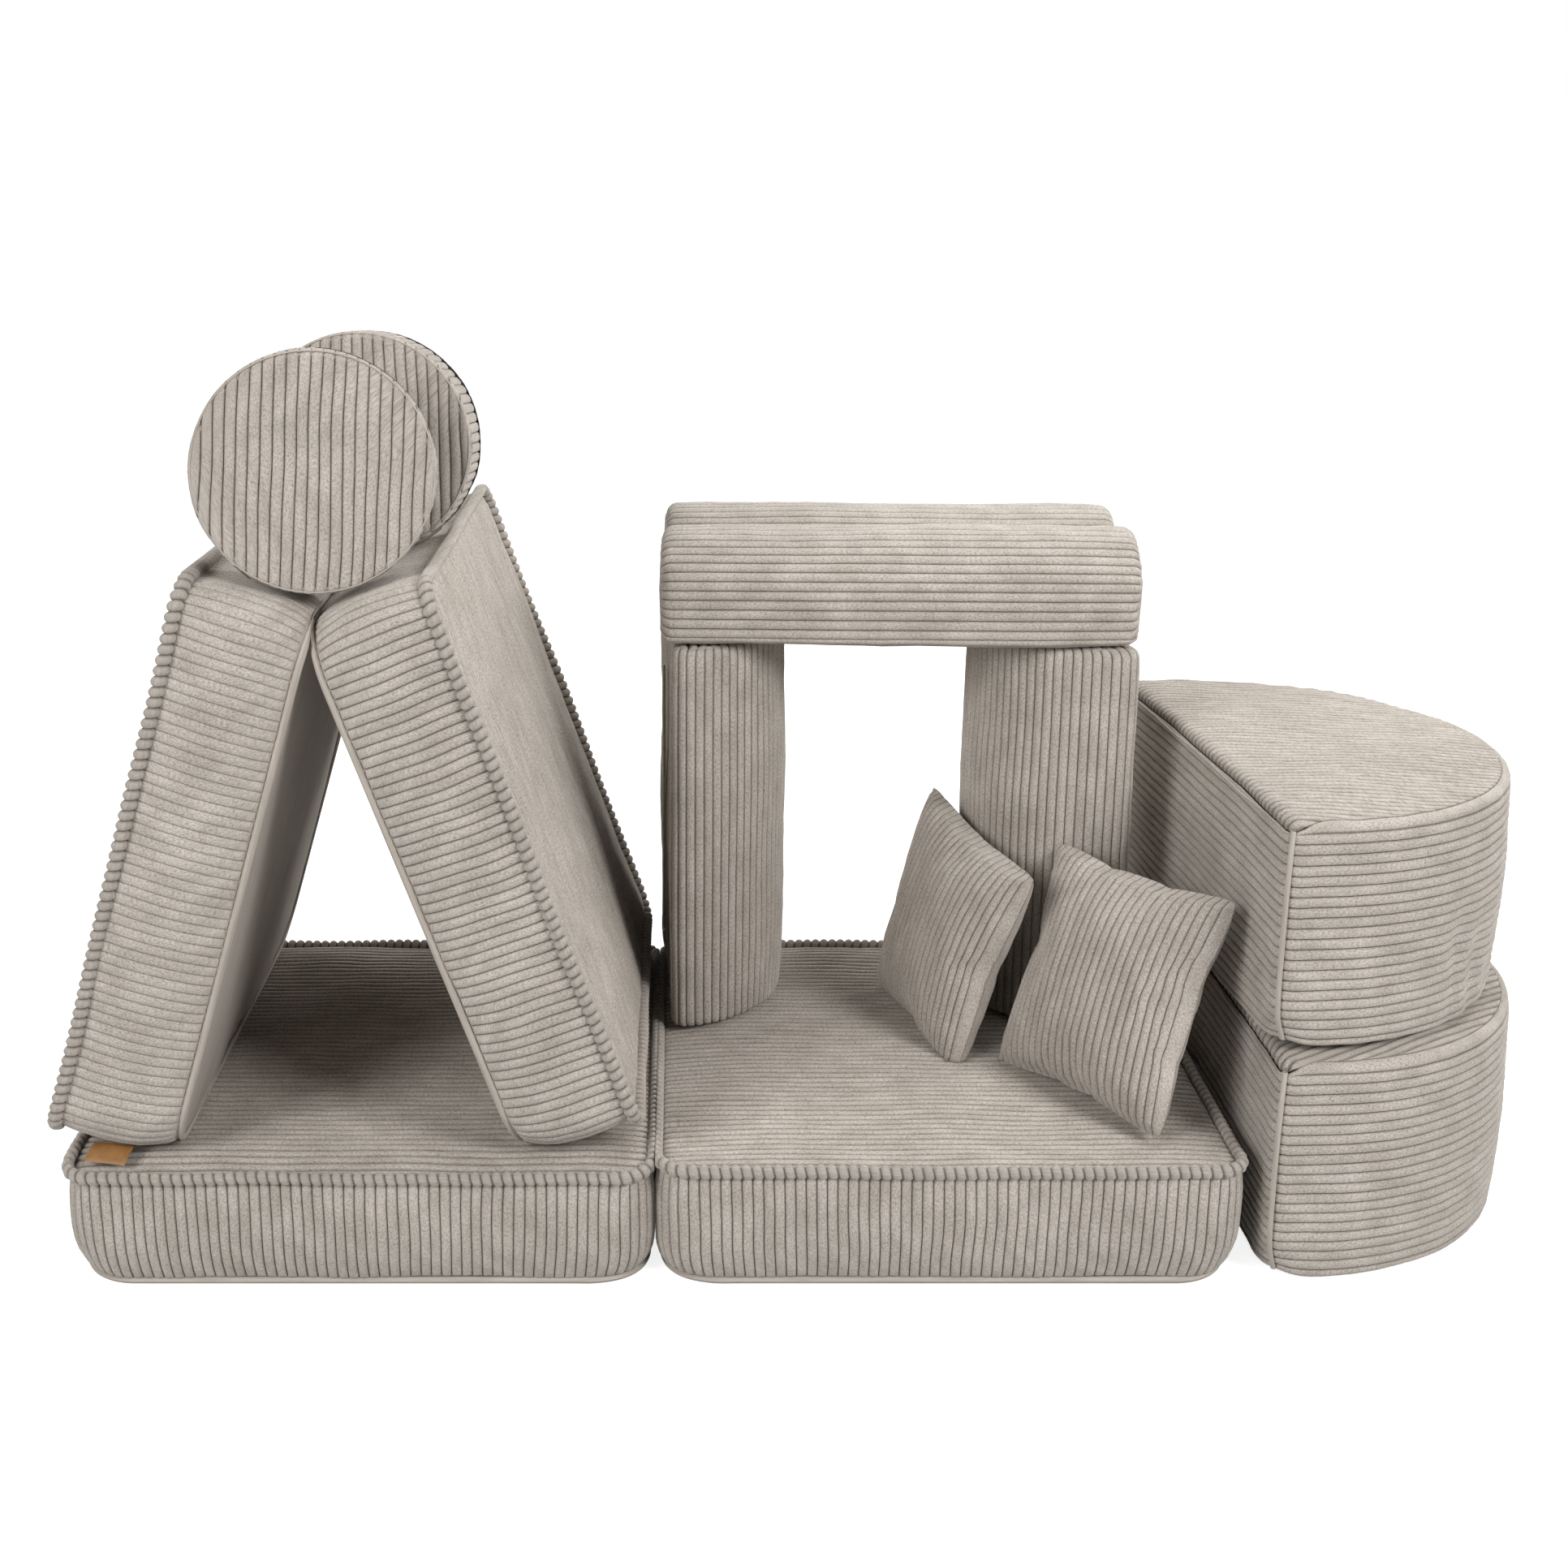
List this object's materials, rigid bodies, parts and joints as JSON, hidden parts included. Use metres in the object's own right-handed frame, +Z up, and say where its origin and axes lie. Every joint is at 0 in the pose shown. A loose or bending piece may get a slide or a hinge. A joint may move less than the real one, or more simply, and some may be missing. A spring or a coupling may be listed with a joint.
{
  "type": "modular foam play sofa",
  "caption": "Loose foam play blocks in wide-wale corduroy, stacked as a tent of leaning mats with discs on top, a doorway of columns and beams, half-moon blocks and pillows.",
  "frame": {"origin": "on the floor, under the middle of the row's bounding box", "axes": "+X to the right along the row, seen from the front; +Y to the back; +Z up"},
  "size_m": [1.8843, 0.7459, 1.1384],
  "materials": {
    "corduroy": "wide-wale corduroy, warm light greige",
    "foam": "open-cell upholstery foam, off-white",
    "fibre": "polyester fibre fill, white",
    "zip": "nylon coil zip on woven tape, greige",
    "leather": "smooth tan leather, bare"
  },
  "bodies": {
    "left_base_mat": {"left_base_mat_cover": "corduroy", "left_base_mat_welt": "corduroy", "left_base_mat_foam_core": "foam", "left_base_mat_zip": "zip", "left_base_mat_tag": "leather"},
    "right_base_mat": {"right_base_mat_cover": "corduroy", "right_base_mat_welt": "corduroy", "right_base_mat_foam_core": "foam", "right_base_mat_zip": "zip"},
    "left_tent_mat": {"left_tent_mat_cover": "corduroy", "left_tent_mat_welt": "corduroy", "left_tent_mat_foam_core": "foam", "left_tent_mat_zip": "zip"},
    "right_tent_mat": {"right_tent_mat_cover": "corduroy", "right_tent_mat_welt": "corduroy", "right_tent_mat_foam_core": "foam", "right_tent_mat_zip": "zip"},
    "front_disc": {"front_disc_cover": "corduroy", "front_disc_foam_core": "foam", "front_disc_zip": "zip"},
    "rear_disc": {"rear_disc_cover": "corduroy", "rear_disc_foam_core": "foam", "rear_disc_zip": "zip"},
    "left_column": {"left_column_cover": "corduroy", "left_column_foam_core": "foam", "left_column_zip": "zip"},
    "right_column": {"right_column_cover": "corduroy", "right_column_foam_core": "foam", "right_column_zip": "zip"},
    "front_beam": {"front_beam_cover": "corduroy", "front_beam_foam_core": "foam", "front_beam_zip": "zip"},
    "rear_beam": {"rear_beam_cover": "corduroy", "rear_beam_foam_core": "foam", "rear_beam_zip": "zip"},
    "lower_half_moon": {"lower_half_moon_cover": "corduroy", "lower_half_moon_foam_core": "foam", "lower_half_moon_zip": "zip"},
    "upper_half_moon": {"upper_half_moon_cover": "corduroy", "upper_half_moon_foam_core": "foam", "upper_half_moon_zip": "zip"},
    "rear_pillow": {"rear_pillow_cover": "corduroy", "rear_pillow_fibre_fill": "fibre", "rear_pillow_zip": "zip"},
    "front_pillow": {"front_pillow_cover": "corduroy", "front_pillow_fibre_fill": "fibre", "front_pillow_zip": "zip"}
  },
  "joints": [
    {"name": "right_base_mat_slides_forward", "type": "slide", "parent": "left_base_mat", "child": "right_base_mat", "axis": [0, -1, 0], "range_m": [0, 0.74]},
    {"name": "left_tent_mat_slides_out", "type": "slide", "parent": "left_base_mat", "child": "left_tent_mat", "axis": [-1, 0, 0], "range_m": [0, 0.4]},
    {"name": "right_tent_mat_lifts", "type": "slide", "parent": "left_base_mat", "child": "right_tent_mat", "axis": [0, 0, 1], "range_m": [0, 0.75]},
    {"name": "front_disc_lifts", "type": "slide", "parent": "right_tent_mat", "child": "front_disc", "axis": [0, 0, 1], "range_m": [0, 0.3]},
    {"name": "rear_disc_lifts", "type": "slide", "parent": "right_tent_mat", "child": "rear_disc", "axis": [0, 0, 1], "range_m": [0, 0.3]},
    {"name": "left_column_slides_forward", "type": "slide", "parent": "right_base_mat", "child": "left_column", "axis": [0, -1, 0], "range_m": [0, 0.745]},
    {"name": "right_column_slides_back", "type": "slide", "parent": "right_base_mat", "child": "right_column", "axis": [0, 1, 0], "range_m": [0, 0.36]},
    {"name": "front_beam_lifts", "type": "slide", "parent": "left_column", "child": "front_beam", "axis": [0, 0, 1], "range_m": [0, 0.2]},
    {"name": "rear_beam_lifts", "type": "slide", "parent": "right_column", "child": "rear_beam", "axis": [0, 0, 1], "range_m": [0, 0.2]},
    {"name": "lower_half_moon_slides_out", "type": "slide", "parent": "left_base_mat", "child": "lower_half_moon", "axis": [1, 0, 0], "range_m": [0, 0.45]},
    {"name": "upper_half_moon_lifts", "type": "slide", "parent": "lower_half_moon", "child": "upper_half_moon", "axis": [0, 0, 1], "range_m": [0, 0.31]},
    {"name": "rear_pillow_lifts_out", "type": "slide", "parent": "right_base_mat", "child": "rear_pillow", "axis": [-0.4, -0.64, 0.656], "range_m": [0, 0.4]},
    {"name": "front_pillow_lifts_out", "type": "slide", "parent": "right_base_mat", "child": "front_pillow", "axis": [0, -0.77, 0.638], "range_m": [0, 0.4]}
  ]
}
